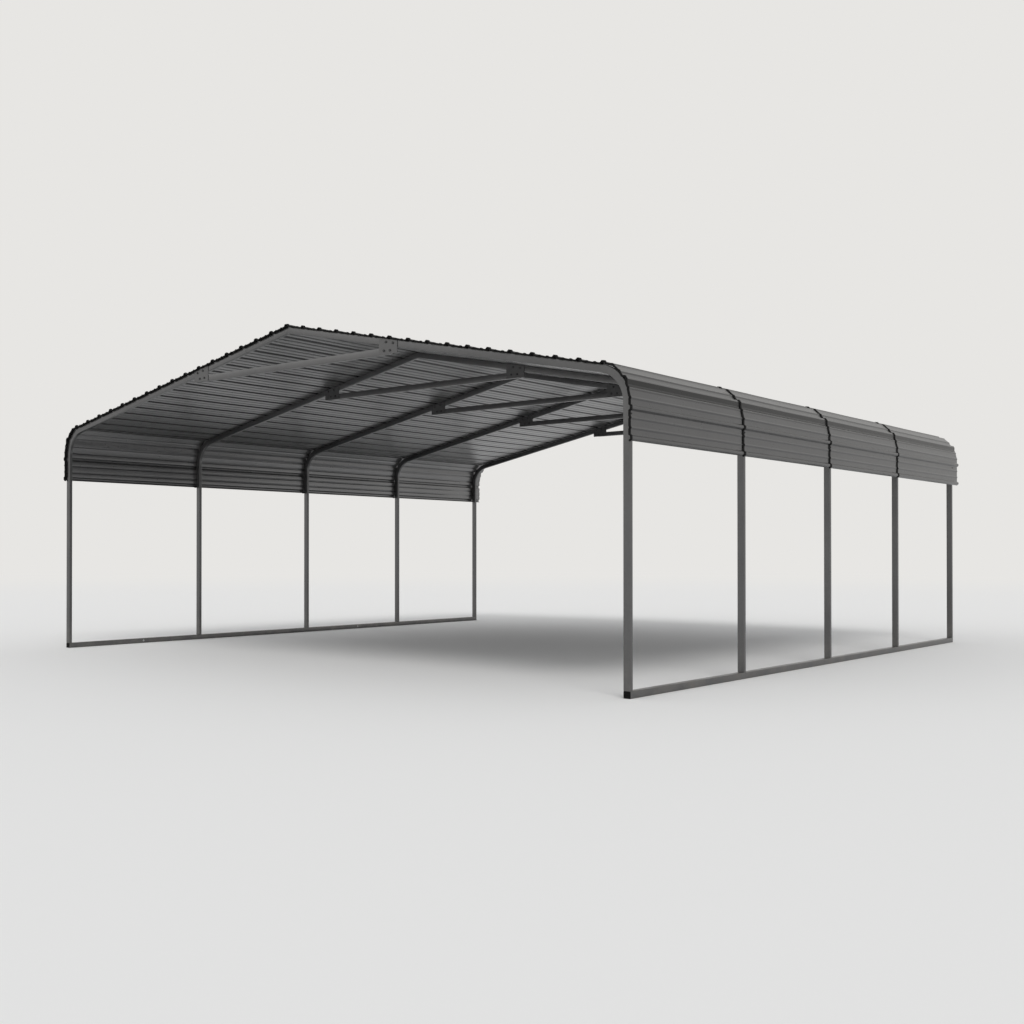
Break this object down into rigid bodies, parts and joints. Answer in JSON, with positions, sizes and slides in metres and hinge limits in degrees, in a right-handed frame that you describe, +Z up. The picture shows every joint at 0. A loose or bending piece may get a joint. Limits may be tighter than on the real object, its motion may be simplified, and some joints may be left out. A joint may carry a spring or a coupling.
{
  "type": "open-frame carport",
  "caption": "Open-sided steel carport: arched tube frames on base rails carry ribbed metal sheets over the roof and down past the eaves.",
  "frame": {"origin": "middle of the covered plan on the ground, under the ridge", "axes": "+Z up, Y along the ridge with the open front at -Y, X across the roof"},
  "size_m": [6.1382, 6.25, 2.6501],
  "materials": {
    "frame_steel": "satin dark grey coated tube",
    "sheet_steel": "satin dark grey coated sheet, ribbed",
    "plug_plastic": "matt black moulded plastic"
  },
  "bodies": {
    "root": {"base_rail_left": "frame_steel", "base_rail_right": "frame_steel", "bay_1_roof_sheet_left": "sheet_steel", "bay_1_roof_sheet_right": "sheet_steel", "bay_1_side_sheet_left": "sheet_steel", "bay_1_side_sheet_right": "sheet_steel", "bay_2_roof_sheet_left": "sheet_steel", "bay_2_roof_sheet_right": "sheet_steel", "bay_2_side_sheet_left": "sheet_steel", "bay_2_side_sheet_right": "sheet_steel", "bay_3_roof_sheet_left": "sheet_steel", "bay_3_roof_sheet_right": "sheet_steel", "bay_3_side_sheet_left": "sheet_steel", "bay_3_side_sheet_right": "sheet_steel", "bay_4_roof_sheet_left": "sheet_steel", "bay_4_roof_sheet_right": "sheet_steel", "bay_4_side_sheet_left": "sheet_steel", "bay_4_side_sheet_right": "sheet_steel", "frame_1_collar_tie": "frame_steel", "frame_1_posts": "frame_steel", "frame_1_rafters": "frame_steel", "frame_1_ridge_tube": "frame_steel", "frame_1_tie_plates": "frame_steel", "frame_2_collar_tie": "frame_steel", "frame_2_posts": "frame_steel", "frame_2_rafters": "frame_steel", "frame_2_ridge_tube": "frame_steel", "frame_2_tie_plates": "frame_steel", "frame_3_collar_tie": "frame_steel", "frame_3_posts": "frame_steel", "frame_3_rafters": "frame_steel", "frame_3_ridge_tube": "frame_steel", "frame_3_tie_plates": "frame_steel", "frame_4_collar_tie": "frame_steel", "frame_4_posts": "frame_steel", "frame_4_rafters": "frame_steel", "frame_4_ridge_tube": "frame_steel", "frame_4_tie_plates": "frame_steel", "frame_5_collar_tie": "frame_steel", "frame_5_posts": "frame_steel", "frame_5_rafters": "frame_steel", "frame_5_ridge_tube": "frame_steel", "frame_5_tie_plates": "frame_steel", "rail_plugs": "plug_plastic", "rail_stubs": "frame_steel"}
  },
  "joints": []
}
